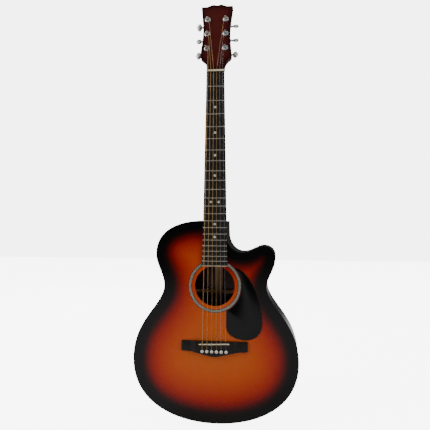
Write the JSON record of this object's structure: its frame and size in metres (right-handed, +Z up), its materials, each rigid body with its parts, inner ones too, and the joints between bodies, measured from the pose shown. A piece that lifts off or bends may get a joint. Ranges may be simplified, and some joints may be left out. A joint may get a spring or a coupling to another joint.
{
  "type": "acoustic guitar",
  "caption": "Steel-string acoustic guitar with a rounded cutaway, sunburst top, black fretboard and bridge, and geared tuning machines.",
  "frame": {"origin": "on the fretboard's playing surface at the nut, on the centre line, where a hanger's fork holds the neck just below the headstock", "axes": "+Z up along the neck towards the headstock, -Y out of the front of the soundboard, +X towards the treble side"},
  "size_m": [0.3994, 0.1131, 1.0319],
  "materials": {
    "sunburst_top": "gloss lacquer, orange centre shaded through red to black at the edge",
    "black_lacquer": "gloss black lacquer",
    "mahogany": "gloss red-brown lacquer",
    "spruce": "bare",
    "block_wood": "bare",
    "black_wood": "satin",
    "black_plastic": "gloss",
    "pearl": "grey pearloid",
    "bone": "cream",
    "white_plastic": "white",
    "chrome": "polished",
    "steel": "plain",
    "bronze": "wound wire"
  },
  "bodies": {
    "root": {"soundboard": "sunburst_top", "top_binding": "black_plastic", "back": "black_lacquer", "rosette": "pearl", "side_bass": "black_lacquer", "side_treble": "black_lacquer", "neck_block": "block_wood", "tail_block": "block_wood", "lining_top": "block_wood", "lining_back": "block_wood", "top_bracing": "spruce", "upper_transverse_brace": "spruce", "back_bracing": "spruce", "bridge_plate": "block_wood", "pickguard": "black_plastic", "bridge": "black_wood", "saddle": "bone", "end_pin": "black_plastic", "neck": "mahogany", "fretboard": "black_wood", "nut": "bone", "heel_cap": "black_plastic", "truss_rod": "steel", "bridge_pin_1": "white_plastic", "bridge_pin_2": "white_plastic", "bridge_pin_3": "white_plastic", "bridge_pin_4": "white_plastic", "bridge_pin_5": "white_plastic", "bridge_pin_6": "white_plastic", "string_1": "steel", "string_2": "steel", "string_3": "bronze", "string_4": "bronze", "string_5": "bronze", "string_6": "bronze", "tuner_1_bushing": "chrome", "tuner_1_housing": "chrome", "tuner_2_bushing": "chrome", "tuner_2_housing": "chrome", "tuner_3_bushing": "chrome", "tuner_3_housing": "chrome", "tuner_4_bushing": "chrome", "tuner_4_housing": "chrome", "tuner_5_bushing": "chrome", "tuner_5_housing": "chrome", "tuner_6_bushing": "chrome", "tuner_6_housing": "chrome"},
    "knob_1": {"tuner_1_knob": "chrome"},
    "post_1": {"tuner_1_post": "chrome"},
    "knob_2": {"tuner_2_knob": "chrome"},
    "post_2": {"tuner_2_post": "chrome"},
    "knob_3": {"tuner_3_knob": "chrome"},
    "post_3": {"tuner_3_post": "chrome"},
    "knob_4": {"tuner_4_knob": "chrome"},
    "post_4": {"tuner_4_post": "chrome"},
    "knob_5": {"tuner_5_knob": "chrome"},
    "post_5": {"tuner_5_post": "chrome"},
    "knob_6": {"tuner_6_knob": "chrome"},
    "post_6": {"tuner_6_post": "chrome"},
    "truss_nut": {"truss_nut": "steel"}
  },
  "joints": [
    {"name": "knob_1_turn", "type": "hinge", "parent": "root", "child": "knob_1", "pos_m": [0.0223, 0.03143, 0.04877], "axis": [1, 0, 0], "continuous": true},
    {"name": "post_1_turn", "type": "hinge", "parent": "root", "child": "post_1", "pos_m": [0.0223, 0.01317, 0.05985], "axis": [0, 0.9848, -0.1736], "continuous": true},
    {"name": "knob_2_turn", "type": "hinge", "parent": "root", "child": "knob_2", "pos_m": [0.0223, 0.03811, 0.08668], "axis": [1, 0, 0], "continuous": true},
    {"name": "post_2_turn", "type": "hinge", "parent": "root", "child": "post_2", "pos_m": [0.0223, 0.01986, 0.09777], "axis": [0, 0.9848, -0.1736], "continuous": true},
    {"name": "knob_3_turn", "type": "hinge", "parent": "root", "child": "knob_3", "pos_m": [0.0223, 0.0448, 0.1246], "axis": [1, 0, 0], "continuous": true},
    {"name": "post_3_turn", "type": "hinge", "parent": "root", "child": "post_3", "pos_m": [0.0223, 0.02654, 0.13568], "axis": [0, 0.9848, -0.1736], "continuous": true},
    {"name": "knob_4_turn", "type": "hinge", "parent": "root", "child": "knob_4", "pos_m": [-0.0223, 0.0448, 0.1246], "axis": [1, 0, 0], "continuous": true},
    {"name": "post_4_turn", "type": "hinge", "parent": "root", "child": "post_4", "pos_m": [-0.0223, 0.02654, 0.13568], "axis": [0, 0.9848, -0.1736], "continuous": true},
    {"name": "knob_5_turn", "type": "hinge", "parent": "root", "child": "knob_5", "pos_m": [-0.0223, 0.03811, 0.08668], "axis": [1, 0, 0], "continuous": true},
    {"name": "post_5_turn", "type": "hinge", "parent": "root", "child": "post_5", "pos_m": [-0.0223, 0.01986, 0.09777], "axis": [0, 0.9848, -0.1736], "continuous": true},
    {"name": "knob_6_turn", "type": "hinge", "parent": "root", "child": "knob_6", "pos_m": [-0.0223, 0.03143, 0.04877], "axis": [1, 0, 0], "continuous": true},
    {"name": "post_6_turn", "type": "hinge", "parent": "root", "child": "post_6", "pos_m": [-0.0223, 0.01317, 0.05985], "axis": [0, 0.9848, -0.1736], "continuous": true},
    {"name": "truss_nut_turn", "type": "hinge", "parent": "root", "child": "truss_nut", "pos_m": [0, 0.013, -0.424], "axis": [0, 0, 1], "range_deg": [-180, 180]}
  ],
  "couplings": [
    {"joint": "post_1_turn", "follows": "knob_1_turn", "ratio": 0.071429},
    {"joint": "post_2_turn", "follows": "knob_2_turn", "ratio": 0.071429},
    {"joint": "post_3_turn", "follows": "knob_3_turn", "ratio": 0.071429},
    {"joint": "post_4_turn", "follows": "knob_4_turn", "ratio": -0.071429},
    {"joint": "post_5_turn", "follows": "knob_5_turn", "ratio": -0.071429},
    {"joint": "post_6_turn", "follows": "knob_6_turn", "ratio": -0.071429}
  ]
}
